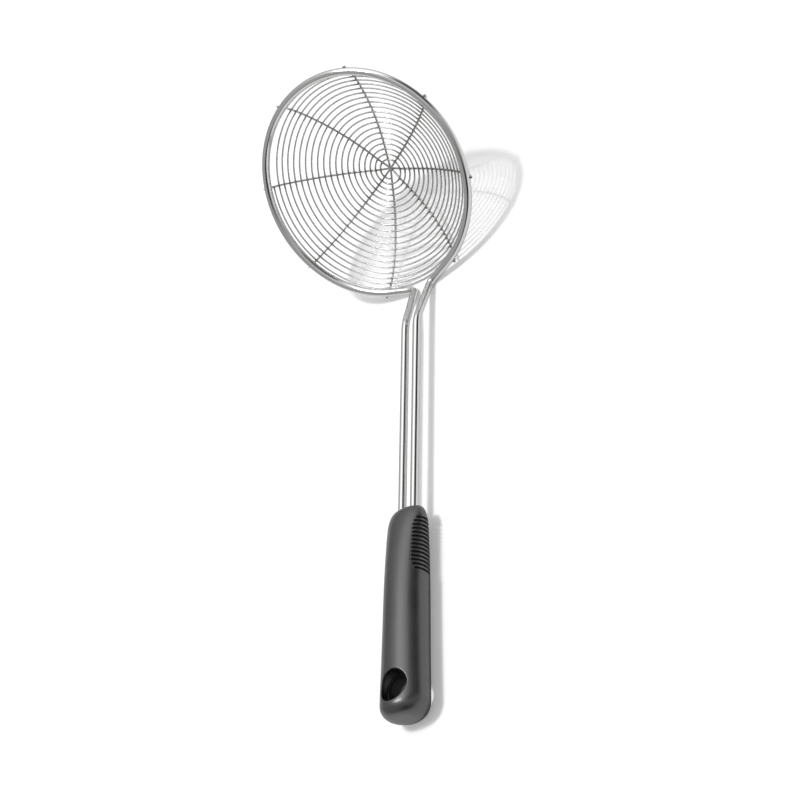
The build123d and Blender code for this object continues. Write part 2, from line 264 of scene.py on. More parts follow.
def softened(path, reach):
    """The path with its kinks softened: each point is a mean of those within reach, weighted 1 - t^2.

    t is the distance over the reach, which shrinks to nothing at the path's ends.
    """
    run = run_along(path)
    half = np.minimum(reach, np.minimum(run, run[-1] - run))
    offsets = np.linspace(-1.0, 1.0, 9)
    places = run[:, None] + half[:, None] * offsets
    weights = (1 - offsets**2) / np.sum(1 - offsets**2)
    return np.stack([np.interp(places, run, path[:, axis]) @ weights for axis in range(3)], axis=1)


def bent_route(corners, bends, step):
    """Straight runs between corners, with each inner corner turned into an arc.

    The arc of radius r starts r * tan(turn / 2) before its corner; a point on it is
    start + r * sin(a) * heading + r * (1 - cos(a)) * side, for a from 0 to the turn.
    """
    stretches = [corners[:1]]
    for before, corner, after, bend in zip(corners[:-2], corners[1:-1], corners[2:], bends):
        heading, leaving = unit(corner - before), unit(after - corner)
        turn = np.arccos(heading @ leaving)
        side = unit(leaving - heading * (heading @ leaving))
        start = corner - heading * bend * np.tan(turn / 2)
        turned = np.linspace(0.0, turn, max(int(bend * turn / step), 4))[:, None]
        stretches.append(start + bend * (np.sin(turned) * heading + (1 - np.cos(turned)) * side))
    stretches.append(corners[-1:])
    return np.concatenate(stretches)


def carried(path, profile, reference):
    """A profile carried along a path: point = path + x * across + y * up.

    across is tangent x reference and up is across x tangent, so the profile doesn't roll.
    """
    tangent = unit(np.gradient(path, axis=0))
    across = unit(np.cross(tangent, reference))
    up = np.cross(across, tangent)
    x, y = profile[..., :1], profile[..., 1:]
    return path[:, None] + x * across[:, None] + y * up[:, None]


def ring(sides):
    """Points of a unit circle, as (cos a, sin a)."""
    turned = np.linspace(0.0, 2 * np.pi, sides, endpoint=False)
    return np.stack([np.cos(turned), np.sin(turned)], axis=-1)


def round_ended(path, radius, steps=6):
    """The path with extra points at its ends, and the wire's radius there for cut ends rounded over.

    Within an edge e of an end the radius is r - e + sqrt(e^2 - (e - d)^2), at distance d.
    """
    edge = radius * cut_round
    run = run_along(path)
    near = edge * (1 - np.cos(np.linspace(0.0, np.pi / 2, steps)))
    past = edge * 1.01
    inner = run[(run > past) & (run < run[-1] - past)]
    places = np.concatenate([near, inner, (run[-1] - near)[::-1]])
    points = np.stack([np.interp(places, run, path[:, axis]) for axis in range(3)], axis=1)
    left = np.minimum(np.minimum(places, places[-1] - places), edge)
    return points, radius - edge + np.sqrt(edge**2 - (edge - left) ** 2)


def wire(path, radius, reference, sides):
    """A round wire with closed, rounded ends: a circle carried along the path."""
    points, radii = round_ended(path, radius)
    return {
        "points": carried(points, radii[:, None, None] * ring(sides), reference),
        "along": run_along(points),
        "around": np.linspace(0.0, 2 * np.pi * radius, sides + 1),
    }


def smooth_step(x):
    """Rises from 0 to 1 with level ends: x^2 * (3 - 2x), with x kept between them."""
    x = np.clip(x, 0.0, 1.0)
    return x * x * (3 - 2 * x)


def blob(place, axes, rows=7, columns=10):
    """Ellipsoids: place + cos(b) * (cos(a) * first axis + sin(a) * second axis) + sin(b) * third."""
    tall = np.linspace(-np.pi / 2, np.pi / 2, rows)[1:-1]
    circle = ring(columns)
    ways = [
        np.cos(tall)[:, None] * circle[None, :, 0],
        np.cos(tall)[:, None] * circle[None, :, 1],
        np.sin(tall)[:, None] * np.ones(columns),
    ]
    parts = (way[None, :, :, None] * axis[:, None, None] for way, axis in zip(ways, axes))
    return place[:, None, None] + sum(parts)


def grid_quads(rows, columns):
    """Corners of the quads of a grid closed round its columns: their numbers, rows and columns."""
    row, column = np.meshgrid(np.arange(rows - 1), np.arange(columns), indexing="ij")
    row, column = row.ravel()[:, None], column.ravel()[:, None]
    corner_rows = row + np.array([[0, 1, 1, 0]])
    corner_columns = column + np.array([[0, 0, 1, 1]])
    return corner_rows * columns + corner_columns % columns, corner_rows, corner_columns


def add_object(name, data):
    """A new object in the scene, at the origin."""
    made = bpy.data.objects.new(name, data)
    bpy.context.scene.collection.objects.link(made)
    return made


def piece(name, shells, material, replaced=(), merge=1e-7):
    """A piece of the skimmer made of shells, each a grid of points, on the one body.

    A shell closes round its columns, and its first and last rows are capped unless its caps name
    fewer rows. along and around are distances over the surface in metres, kept in the UV map.
    The darkening kept in an attribute is weld tint on the spiral, and painted shade on the ribs all
    along and on the rubber's top face, slots and hole. Points closer than merge become one, which joins
    the shells.
    """
    points, faces, places, tints_and_painted_shades, first = [], [], [], [], 0
    for shell in shells:
        grid = shell["points"]
        rows, columns = grid.shape[:2]
        quads, corner_rows, corner_columns = grid_quads(rows, columns)
        points.append(grid.reshape(-1, 3))
        faces += (quads + first).tolist()
        along = shell.get("along", np.arange(rows, dtype=float))
        around = shell.get("around", np.arange(columns + 1, dtype=float))
        places.append(np.stack([along[corner_rows], around[corner_columns]], axis=-1).reshape(-1, 2))
        for end in shell.get("caps", (0, rows - 1)):
            numbers = np.arange(columns) + end * columns + first
            faces.append(numbers.tolist())
            places.append(np.stack([np.full(columns, along[end]), around[:-1]], axis=-1))
        tints_and_painted_shades.append(np.broadcast_to(shell.get("tint_and_painted_shade", 0.0), (rows, columns)).ravel())
        first += rows * columns
    mesh = bpy.data.meshes.new(name)
    mesh.from_pydata(np.concatenate(points).tolist(), [], faces)
    mesh.uv_layers.new(name="UVMap").data.foreach_set("uv", np.concatenate(places).ravel())
    # Weld tint and painted shade, per point
    mesh.attributes.new("tint_and_painted_shade", "FLOAT", "POINT").data.foreach_set("value", np.concatenate(tints_and_painted_shades))
    made = bmesh.new()
    made.from_mesh(mesh)
    bmesh.ops.remove_doubles(made, verts=made.verts, dist=merge)
    bmesh.ops.recalc_face_normals(made, faces=made.faces)
    made.to_mesh(mesh)
    made.free()
    mesh.shade_smooth()
    mesh.materials.append(material)
    body = add_object(name, mesh)
    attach(body, "root")
    if replaced:
        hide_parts(*replaced)


# Materials


def add_node(tree, kind, inputs=(), **settings):
    """A shader node with its settings and inputs: a socket is linked in, anything else is a value."""
    node = tree.nodes.new(f"ShaderNode{kind}")
    for name, value in settings.items():
        setattr(node, name, value)
    for name, value in dict(inputs).items():
        if isinstance(value, bpy.types.NodeSocket):
            tree.links.new(value, node.inputs[name])
        else:
            node.inputs[name].default_value = value
    return node


def new_material(name):
    """A material and its node tree, which is empty."""
    material = bpy.data.materials.new(name)
    material.use_nodes = True
    material.node_tree.nodes.clear()
    return material, material.node_tree


def shade(tree, inputs):
    """The material's shader with its inputs, joined to the output."""
    shader = add_node(tree, "BsdfPrincipled", inputs)
    add_node(tree, "OutputMaterial", {"Surface": shader.outputs["BSDF"]})


def spread(tree, value, low, high, from_low=0.0, from_high=1.0):
    """Maps a value from one range to another, kept inside it."""
    limits = {"From Min": from_low, "From Max": from_high, "To Min": low, "To Max": high}
    return add_node(tree, "MapRange", {"Value": value, **limits}).outputs["Result"]


def blend(tree, amount, first, second):
    """Mixes two colours by an amount from 0 to 1."""
    return add_node(tree, "Mix", {0: amount, 6: first, 7: second}, data_type="RGBA").outputs[2]


def noise(tree, surface, scale, detail):
    """Fine noise over a surface, around one half."""
    inputs = {"Vector": surface, "Scale": scale, "Detail": detail}
    return add_node(tree, "TexNoise", inputs).outputs["Fac"]


def scaled(tint, factor):
    """A colour made paler or darker, with the alpha that a socket wants."""
    return (*(min(1.0, part * factor) for part in tint), 1.0)


def steel_material(name, steel, roughness, weld):
    """Polished drawn wire: faint lines along it, cloudy polish, darkened where it was welded, and painted
    shade on the ribs.
    """
    material, tree = new_material(name)
    surface = add_node(tree, "TexCoord").outputs
    stretched = add_node(tree, "Mapping", {"Vector": surface["UV"], "Scale": steel_lines})
    lines = noise(tree, stretched.outputs["Vector"], 1.0, 3.0)
    clouds = noise(tree, surface["Object"], steel_clouds, 3.0)
    tint_and_painted_shade = add_node(tree, "Attribute", attribute_name="tint_and_painted_shade").outputs["Fac"]
    polish = spread(tree, lines, 0.94, 1.0, 0.35, 0.65)
    clean = blend(tree, polish, scaled(steel, 0.8), scaled(steel, 1.0))
    # Towards the weld colour by the attribute: weld tint on the spiral, painted shade on the ribs all
    # along
    tinted = blend(tree, tint_and_painted_shade, clean, scaled(weld, 1.0))
    rough = spread(tree, clouds, roughness * 0.75, roughness * 1.3, 0.3, 0.7)
    dulled = add_node(tree, "Math", {0: tint_and_painted_shade, 1: 0.35, 2: rough}, operation="MULTIPLY_ADD")
    bump = add_node(tree, "Bump", {"Height": lines, "Strength": 0.25, "Distance": 0.00001})
    inputs = {"Base Color": tinted, "Roughness": dulled.outputs[0], "Normal": bump.outputs["Normal"]}
    shade(tree, {**inputs, "Metallic": 1.0})
    return material


def rubber_material(name, looks):
    """Soft black rubber: fine moulded grain with a little dust, and painted shade in the slots, the hole
    and on the top face.
    """
    material, tree = new_material(name)
    surface = add_node(tree, "TexCoord").outputs["Object"]
    grain = noise(tree, surface, rubber_grain, 2.0)
    clouds = noise(tree, surface, rubber_clouds, 4.0)
    dust = spread(tree, grain, 0.0, 0.5, 0.5, 0.75)
    dusted = blend(tree, dust, scaled(looks.rubber, 1.0), scaled(looks.rubber, 1.9))
    rough = spread(tree, clouds, looks.rubber_roughness * 0.9, looks.rubber_roughness * 1.12, 0.3, 0.7)
    bump = add_node(tree, "Bump", {"Height": grain, "Strength": 0.5, "Distance": 0.00008})
    tint_and_painted_shade = add_node(tree, "Attribute", attribute_name="tint_and_painted_shade").outputs["Fac"]
    # Painted shade: down to a fifth of the rubber's colour in the slots, the hole and on the top face
    shaded = blend(tree, tint_and_painted_shade, dusted, scaled(looks.rubber, 0.2))
    inputs = {"Base Color": shaded, "Roughness": rough, "Normal": bump.outputs["Normal"]}
    shade(tree, {**inputs, "Specular IOR Level": looks.rubber_sheen, "IOR": looks.rubber_ior})
    return material


def mottled_material(name, tint, paler, grain, rough, constants):
    """A colour mottled with a paler one by fine noise, and as mottled in its roughness.

    It serves the rigid plastic of the core and the browned steel of the welds.
    """
    material, tree = new_material(name)
    mottle = noise(tree, add_node(tree, "TexCoord").outputs["Object"], grain, 3.0)
    mixed = blend(tree, mottle, scaled(tint, 1.0), scaled(tint, paler))
    shade(tree, {"Base Color": mixed, "Roughness": spread(tree, mottle, *rough), **constants})
    return material


# Places


def hoop_place(wires):
    """Middle of the hoop, from the box of the frame wire, and its ways across, along and up the axis."""
    radius, half = wires.hoop_diameter / 2, wires.wire_diameter / 2
    along = np.array([0.0, np.cos(wires.tilt), np.sin(wires.tilt)])
    axis = np.array([0.0, -np.sin(wires.tilt), np.cos(wires.tilt)])
    middle = np.array([0.0, *(wire_high[1:] - radius * along[1:] - half)])
    return middle, np.array([1.0, 0.0, 0.0]), along, axis


def from_hoop(wires, x, y, z):
    """Points given in the hoop's frame, by its middle and its three ways."""
    middle, across, along, axis = hoop_place(wires)
    placed = middle + np.multiply.outer(x, across) + np.multiply.outer(y, along)
    return placed + np.multiply.outer(z, axis)


def bowl_shape(wires, basket):
    """The bowl's side profile: sphere radius and height, then the edge arc that turns up to the hoop.

    The edge arc touches the sphere of the ribs where its side turns in, and the hoop's wire.
    """
    rim, half = wires.hoop_diameter / 2, wires.wire_diameter / 2
    sphere = ((rim + basket.overhang) ** 2 / basket.depth + basket.depth) / 2
    height = sphere - basket.depth
    offset = basket.spiral_wire / 2 + basket.rib_wire / 2 + basket.weld_gap
    turn_in = rim - basket.edge_width
    turned = np.arcsin(turn_in / (sphere + offset))
    turn_height = height - (sphere + offset) * np.cos(turned)
    touch = half + basket.rib_wire / 2 + basket.weld_gap
    across, up = turn_in - rim, turn_height
    along = -across * np.sin(turned) + up * np.cos(turned)
    edge = (touch**2 - across**2 - up**2) / (2 * (along + touch))
    edge_x, edge_z = turn_in - edge * np.sin(turned), turn_height + edge * np.cos(turned)
    weld = np.arctan2(rim - edge_x, edge_z)
    return {
        "sphere": sphere, "height": height, "offset": offset, "turned": turned,
        "edge": edge, "edge_x": edge_x, "edge_z": edge_z, "weld": weld,
    }


def bowl_point(shape, run, out=0.0):
    """Distance from the bowl's axis and height at a run along the spiral's profile, moved outwards.

    On the sphere the point is (R sin a, h - R cos a); on the edge it is the edge arc's own.
    """
    sphere_run = shape["sphere"] * shape["turned"]
    own = shape["edge"] - shape["offset"]
    a = run / shape["sphere"]
    b = shape["turned"] + (run - sphere_run) / own
    inner = run <= sphere_run
    big, small = shape["sphere"] + out, own + out
    radius = np.where(inner, big * np.sin(a), shape["edge_x"] + small * np.sin(b))
    height = np.where(inner, shape["height"] - big * np.cos(a), shape["edge_z"] - small * np.cos(b))
    return radius, height


def spiral_runs(wires, basket, shares):
    """Run along the bowl's profile and angle round its axis at shares of the spiral's turns."""
    shape = bowl_shape(wires, basket)
    own = shape["edge"] - shape["offset"]
    keep = wires.wire_diameter / 2 + basket.spiral_wire / 2 + basket.rim_gap
    to_rim = np.hypot(wires.hoop_diameter / 2 - shape["edge_x"], shape["edge_z"])
    end_angle = shape["weld"] - np.arccos((to_rim**2 + own**2 - keep**2) / (2 * to_rim * own))
    start = shape["sphere"] * np.arcsin(basket.spiral_start / shape["sphere"])
    end = shape["sphere"] * shape["turned"] + own * (end_angle - shape["turned"])
    swell = 2 * shares**2 - 4 * shares**3 / 3
    grown = shares * (1 - 2 * basket.spiral_swell / 3) + basket.spiral_swell * swell
    turned = basket.spiral_angle - 2 * np.pi * basket.spiral_turns * shares
    lean = basket.lean * np.cos(turned - basket.lean_angle)
    return shape, start + (end - start) * grown + lean, turned


def rib_angles(basket):
    """Angles round the bowl's axis at which the half ribs run."""
    return np.pi / (2 * basket.rib_count) + np.pi * np.arange(2 * basket.rib_count) / basket.rib_count


def grip_half_width(grip, distance):
    """Half width of the grip's unrounded outline: a parabola through its three widths."""
    part = distance / grip_length()
    start, middle, end = grip.top_width / 2, grip.middle_width / 2, grip.end_width / 2
    return start + part * (end - start) + 2 * (start + end - 2 * middle) * part * (part - 1)


def grip_length():
    """Length of the grip, from its box."""
    return grip_high[1] - grip_low[1]


def end_share(distance, reach, flat):
    """Share of the full size at a distance from a rounded end: flat + (1 - flat) * a quarter ellipse."""
    near = np.clip(distance / reach, 0.0, 1.0)
    return flat + (1 - flat) * np.sqrt(1 - (1 - near) ** 2)


def grip_size(grip, distance):
    """Half width and half thickness of the grip at a distance from its top."""
    left, half = grip_length() - distance, (grip_high[2] - grip_low[2]) / 2
    shoulder = end_share(distance, grip.shoulder, grip.shoulder_width)
    nose = end_share(left, grip.nose, grip.nose_width)
    taper = end_share(distance, grip.taper, grip.taper_thickness)
    nose_side = end_share(left, grip.nose_side, grip.nose_thickness)
    return grip_half_width(grip, distance) * (shoulder * nose), half * (taper * nose_side)


def on_handle(x, distance, z):
    """Points beside the handle's middle line, in the skimmer's frame."""
    height = z + (grip_low[2] + grip_high[2]) / 2
    return np.stack(np.broadcast_arrays(x, grip_high[1] - distance, height), axis=-1)


# Pieces


class SKIMMER_OT_frame_wire(Operator):
    """Make the polished wire that is the hoop, the neck and the two rods"""

    bl_idname = "skimmer.frame_wire"
    bl_label = "Frame wire"

    def execute(self, context):
        wires, looks = context.scene.skimmer_wires, context.scene.skimmer_looks
        radius, corner_x = wires.hoop_diameter / 2, wires.mouth_width / 2
        leave_x, leave_y = radius * np.sin(wires.opening), radius * np.cos(wires.opening)
        corner_y = leave_y + (leave_x - corner_x) * np.tan(wires.opening)
        corner = from_hoop(wires, corner_x, -corner_y, 0.0)
        rod_height = corner[2] + wires.neck_run * np.tan(wires.neck_rise)
        bend = np.array([wires.rod_pitch / 2, corner[1] - wires.neck_run, rod_height])
        rod_end = np.array([wires.rod_pitch / 2, wire_low[1], rod_height])
        corners = np.array([rod_end, bend, corner, from_hoop(wires, leave_x, -leave_y, 0.0)])
        right = bent_route(corners, (wires.rod_bend, wires.corner_bend), arc_step)
        turned = np.linspace(wires.opening, 2 * np.pi - wires.opening, hoop_points)[1:-1]
        hoop = from_hoop(wires, radius * np.sin(turned), -radius * np.cos(turned), np.zeros(len(turned)))
        left = (right * np.array([-1.0, 1.0, 1.0]))[::-1]
        route = even_steps(np.concatenate([right, hoop, left]), frame_step)
        shell = wire(route, wires.wire_diameter / 2, hoop_place(wires)[3], frame_sides)
        steel = steel_material("Polished frame steel", looks.steel, looks.steel_roughness, looks.weld)
        piece("frame_wire_polished", [shell], steel, ["frame_wire"])
        return {"FINISHED"}


class SKIMMER_OT_spiral_wire(Operator):
    """Make the thin wire that winds from the bottom of the basket to its rim"""

    bl_idname = "skimmer.spiral_wire"
    bl_label = "Spiral wire"

    def execute(self, context):
        wires, basket = context.scene.skimmer_wires, context.scene.skimmer_basket
        looks = context.scene.skimmer_looks
        shares = np.linspace(0.0, 1.0, int(basket.spiral_turns * points_per_turn))
        shape, runs, turned = spiral_runs(wires, basket, shares)
        radius, height = bowl_point(shape, runs)
        route = from_hoop(wires, radius * np.cos(turned), radius * np.sin(turned), height)
        shell = wire(route, basket.spiral_wire / 2, hoop_place(wires)[3], spiral_sides)
        beside = (turned[:, None] - rib_angles(basket) + np.pi) % (2 * np.pi) - np.pi
        nearest = np.abs(beside).min(axis=1) * radius
        heat = basket.weld_heat * np.exp(-((nearest / (basket.heat_reach * basket.rib_wire)) ** 2))
        rows = np.interp(shell["along"], run_along(route), heat)
        shell["tint_and_painted_shade"] = rows[:, None] * np.ones(shell["points"].shape[1])
        finish = (looks.basket_steel, looks.basket_roughness, looks.weld)
        steel = steel_material("Polished basket steel", *finish)
        piece("spiral_wire_polished", [shell], steel, ["spiral_wire"])
        return {"FINISHED"}


def rib_route(wires, basket, index):
    """Middle line of a rib: out of the edge arc, down the sphere, dipped in a saddle at the bottom."""
    shape = bowl_shape(wires, basket)
    sphere = shape["sphere"] + shape["offset"]
    start = np.arcsin(basket.saddle_half / sphere)
    tip = shape["weld"] + basket.rib_tip / shape["edge"]
    side = np.linspace(start, shape["turned"], 60)
    edge = np.linspace(shape["turned"], tip, 16)[1:]
    edge_x = shape["edge_x"] + shape["edge"] * np.sin(edge)
    edge_z = shape["edge_z"] - shape["edge"] * np.cos(edge)
    low = shape["height"] - sphere - basket.first_dip - index * basket.stack_step
    x = np.concatenate([[0.0], sphere * np.sin(side), edge_x])
    z = np.concatenate([[low], shape["height"] - sphere * np.cos(side), edge_z])
    x, z = np.concatenate([-x[:0:-1], x]), np.concatenate([z[:0:-1], z])
    turned = rib_angles(basket)[index]
    route = from_hoop(wires, x * np.cos(turned), x * np.sin(turned), z)
    return softened(even_steps(route, rib_step / 2), rib_softness)


class SKIMMER_OT_rib_wires(Operator):
    """Make the rib wires that cross under the basket"""

    bl_idname = "skimmer.rib_wires"
    bl_label = "Rib wires"

    def execute(self, context):
        wires, basket = context.scene.skimmer_wires, context.scene.skimmer_basket
        steel = bpy.data.materials["Polished basket steel"]
        axis = hoop_place(wires)[3]
        for index in range(basket.rib_count):
            route = even_steps(rib_route(wires, basket, index), rib_step)
            shell = wire(route, basket.rib_wire / 2, axis, rib_sides)
            # Painted shade: each rib is darkened all along towards the weld colour
            shell["tint_and_painted_shade"] = basket.rib_shade
            name = f"rib_wire_{index + 1}"
            piece(f"{name}_polished", [shell], steel, [name])
        return {"FINISHED"}


class SKIMMER_OT_welds(Operator):
    """Make the small welds where the spiral crosses the ribs and where the ribs meet the hoop"""

    bl_idname = "skimmer.welds"
    bl_label = "Welds"

    def execute(self, context):
        wires, basket = context.scene.skimmer_wires, context.scene.skimmer_basket
        browned = context.scene.skimmer_looks.weld
        material = mottled_material("Weld", browned, 2.4, weld_grain, (0.35, 0.6), {"Metallic": 1.0})
        across, along, axis = hoop_place(wires)[1:]
        angles = rib_angles(basket)
        turn = np.arange(int(basket.spiral_turns) + 2)
        behind = (basket.spiral_angle - angles[:, None]) / (2 * np.pi) % 1.0 + turn[None, :]
        shares = behind.ravel() / basket.spiral_turns
        shares = shares[shares <= 1.0]
        shape, runs, turned = spiral_runs(wires, basket, shares)
        radius, height = bowl_point(shape, runs, basket.spiral_wire / 2)
        further, higher = bowl_point(shape, runs, basket.spiral_wire)
        place = from_hoop(wires, radius * np.cos(turned), radius * np.sin(turned), height)
        outer = from_hoop(wires, further * np.cos(turned), further * np.sin(turned), higher)
        normal = unit(outer - place)
        onward = np.multiply.outer(-np.sin(turned), across) + np.multiply.outer(np.cos(turned), along)
        sideways = np.cross(normal, onward)
        half = basket.spiral_wire / 2
        axes = [way * half * size for way, size in zip((onward, sideways, normal), spiral_weld)]
        piece("spiral_welds", [{"points": grid} for grid in blob(place, axes)], material)
        self.rim_welds(wires, basket, shape, material, angles, (across, along, axis))
        return {"FINISHED"}

    def rim_welds(self, wires, basket, shape, material, angles, ways):
        """Wider blobs between each rib's end and the hoop's wire."""
        across, along, axis = ways
        weld = shape["weld"]
        x = shape["edge_x"] + (shape["edge"] - basket.rib_wire / 2) * np.sin(weld)
        z = shape["edge_z"] - (shape["edge"] - basket.rib_wire / 2) * np.cos(weld)
        spokes = np.multiply.outer(np.cos(angles), across) + np.multiply.outer(np.sin(angles), along)
        place = from_hoop(wires, x * np.cos(angles), x * np.sin(angles), np.full(len(angles), z))
        outward = unit(spokes * np.sin(weld) - axis * np.cos(weld))
        onward = unit(spokes * np.cos(weld) + axis * np.sin(weld))
        half, sideways = basket.rib_wire / 2, np.cross(outward, onward)
        axes = [way * half * size for way, size in zip((onward, sideways, outward), hoop_weld)]
        grids = blob(place, axes, 9, 14)
        piece("hoop_welds", [{"points": grid} for grid in grids], material)


def fin_slots(grip, distance, z, thick):
    """Depth of the slots between the fins: a smooth step at a slot's walls, times one at its ends.

    The patch of slots has rounded ends: height = full * (1 - |place|^n)^(1/n).
    """
    number = np.arange(grip.fin_slots)
    power = grip.patch_squareness
    placed = (2 * number + 1 - grip.fin_slots) / grip.fin_slots
    middles = grip.first_slot + number * grip.slot_pitch
    full = np.interp(middles, distance, thick) * grip.slot_reach
    reach = full * (1 - np.abs(placed) ** power) ** (1 / power)
    from_middle = np.abs(distance[:, None] - middles)
    nearest = from_middle.argmin(axis=1)
    beside = np.take_along_axis(from_middle, nearest[:, None], axis=1)
    wall = smooth_step((grip.slot_width / 2 - beside) / grip.slot_edge + 0.5)
    end = smooth_step((reach[nearest][:, None] - np.abs(z)) / grip.slot_edge + 0.5)
    return grip.slot_depth * wall * end


def grip_barrel(grip, end, columns):
    """The grip from its top to the hole: ellipses of its width and thickness, less the fin slots.

    point = ((w - depth) * cos a, (t - depth) * sin a); the flat top face is the same ellipse
    drawn in to the middle, and the shoulder leaves it without an edge.
    """
    start = grip.first_slot - grip.slot_pitch
    stop = grip.first_slot + grip.fin_slots * grip.slot_pitch
    top = grip.shoulder * (1 - np.cos(np.linspace(0.0, np.pi / 2, 24)))
    top = top[top < start]
    fine = np.arange(start, stop, slot_step)
    rest = np.linspace(stop, end, 60)
    distance = np.concatenate([top, fine, rest])
    circle = ring(columns)
    wide, thick = grip_size(grip, distance)
    depth = fin_slots(grip, distance, thick[:, None] * circle[None, :, 1], thick)
    x = (wide[:, None] - depth) * circle[:, 0]
    z = (thick[:, None] - depth) * circle[:, 1]
    inner = np.linspace(0.02, 1.0, 6)[:-1, None]
    face = on_handle(inner * wide[0] * circle[:, 0], 0.0, inner * thick[0] * circle[:, 1])
    # Painted shade: the flat top face, a thin band round it and the slots, by their depth, are darkened
    edge = np.exp(-((distance[:, None] / grip.top_shade) ** 2))
    tints_and_painted_shades = np.concatenate([np.ones((len(inner), columns)), np.maximum(depth / grip.slot_depth, edge)])
    points = np.concatenate([face, on_handle(x, distance[:, None], z)])
    return {"points": points, "tint_and_painted_shade": tints_and_painted_shades, "caps": (0,)}


def grip_end(grip, start, columns):
    """The grip's end with its hole: a side profile carried round the hole's axis.

    In each direction the profile runs from the outline over the top, down the hole's wall and
    back under the bottom. Over the top the height is t * sqrt(1 - (x / w)^2), and the hole's edge
    is a curve between its wall and the top: (1-u)^2 wall + 2u(1-u) corner + u^2 top.
    """
    middle = grip_length() - grip.hole_from_end
    joint_x = grip_size(grip, start)[0] * ring(columns)[: columns // 2 + 1, 0]
    toward = np.arctan2(start - middle, joint_x)
    reach = np.hypot(start - middle, joint_x)
    around = np.linspace(toward[-1] + 2 * np.pi, toward[0], 121)[1:-1]
    outline = nose_outline(grip, around, middle)
    directions = np.concatenate([toward, around])
    reach = np.concatenate([reach, outline])
    way = np.stack([np.cos(directions), np.sin(directions)], axis=-1)
    hole, edge = grip.hole_radius, grip.hole_round

    def top(radius):
        """Height of the top at distances from the hole's axis."""
        x, distance = radius * way[:, 0], middle + radius * way[:, 1]
        half_wide, half_thick = grip_size(grip, np.minimum(distance, grip_length()))
        return half_thick * np.sqrt(np.clip(1 - (x / half_wide) ** 2, 0.0, 1.0))

    over = np.sin(np.linspace(0.0, np.pi / 2, 26))[::-1, None]
    radius_top = hole + edge + (reach - hole - edge) * over
    height_top = top(radius_top)
    height_top[0, columns // 2 + 1 :] = 0.0
    u = np.linspace(1.0, 0.0, 8)[1:, None]
    corner, out = top(np.array([[hole]])), top(np.array([[hole + edge]]))
    radius_edge = (1 - u) ** 2 * hole + 2 * u * (1 - u) * hole + u**2 * (hole + edge)
    height_edge = (1 - u) ** 2 * (corner - edge) + 2 * u * (1 - u) * corner + u**2 * out
    wall = np.linspace(1.0, 0.0, 6)[1:, None]
    radius_wall = np.full((5, len(directions)), hole)
    height_wall = wall * height_edge[-1]
    radius = np.concatenate([radius_top, np.broadcast_to(radius_edge, height_edge.shape), radius_wall])
    height = np.concatenate([height_top, height_edge, height_wall])
    radius = np.concatenate([radius, radius[-2::-1]])
    height = np.concatenate([height, -height[-2::-1]])
    # Painted shade: the hole's wall is darkened, fading in over its edge's rounding
    fade = edge * hole_fade
    hole_shade = np.clip((radius_edge[-1] + fade - radius) / fade, 0.0, 1.0)
    points = on_handle(radius * way[:, 0], middle + radius * way[:, 1], height)
    return {"points": points, "tint_and_painted_shade": hole_shade, "caps": ()}


def nose_outline(grip, directions, middle):
    """Distance from the hole's axis to the grip's outline in each direction, by halving 40 times."""
    low, high = np.full(directions.shape, grip.hole_radius), np.full(directions.shape, grip.end_width)
    for _ in range(40):
        guess = (low + high) / 2
        x, distance = guess * np.cos(directions), middle + guess * np.sin(directions)
        wide = grip_size(grip, np.minimum(distance, grip_length()))[0]
        inside = (np.abs(x) < wide) & (distance < grip_length())
        low, high = np.where(inside, guess, low), np.where(inside, high, guess)
    return low


class SKIMMER_OT_grip(Operator):
    """Make the soft rubber grip with its finger fins and hanging hole"""

    bl_idname = "skimmer.grip"
    bl_label = "Grip"

    def execute(self, context):
        grip = context.scene.skimmer_grip
        joint = grip_length() - grip.hole_from_end - grip.joint_share * grip.hole_radius
        rubber = rubber_material("Soft rubber", context.scene.skimmer_looks)
        shells = [grip_barrel(grip, joint, grip_columns), grip_end(grip, joint, grip_columns)]
        piece("handle_grip_rubber", shells, rubber, ["handle_grip"], merge=2e-6)
        return {"FINISHED"}


class SKIMMER_OT_core(Operator):
    """Make the rigid core, whose ring lines the hanging hole"""

    bl_idname = "skimmer.core"
    bl_label = "Core"

    def execute(self, context):
        grip = context.scene.skimmer_grip
        middle = grip_length() - grip.hole_from_end
        looks = context.scene.skimmer_looks
        constants = {"Specular IOR Level": looks.core_sheen}
        plastic = mottled_material("Core plastic", looks.core, 1.5, core_grain, (0.3, 0.42), constants)
        turned = np.linspace(0.0, 2 * np.pi, 32, endpoint=False) + np.pi / 32
        squared = np.stack([np.cos(turned), np.sin(turned)], axis=-1)
        squared = np.sign(squared) * np.minimum(np.abs(squared) * ring_squareness, 1.0)
        half_wall, half_width = grip.ring_wall / 2, grip.ring_width / 2
        radius = grip.ring_bore + half_wall + squared[:, 0] * half_wall
        height = squared[:, 1] * half_width
        circle = ring(96)
        hoop = on_handle(radius * circle[:, :1], middle + radius * circle[:, 1:], height)
        shells = [{"points": np.concatenate([hoop, hoop[:1]]), "caps": ()}]
        distance = np.linspace(grip.core_start, middle - grip.ring_bore - half_wall, 30)
        wide, thick = grip_size(grip, distance)
        oval = ring(48)
        x = (wide[:, None] - grip.core_side_wall) * oval[:, 0]
        z = (thick[:, None] - grip.core_face_wall) * oval[:, 1]
        shells.append({"points": on_handle(x, distance[:, None], z)})
        piece("handle_core_plastic", shells, plastic, ["handle_core"])
        return {"FINISHED"}


# Stage


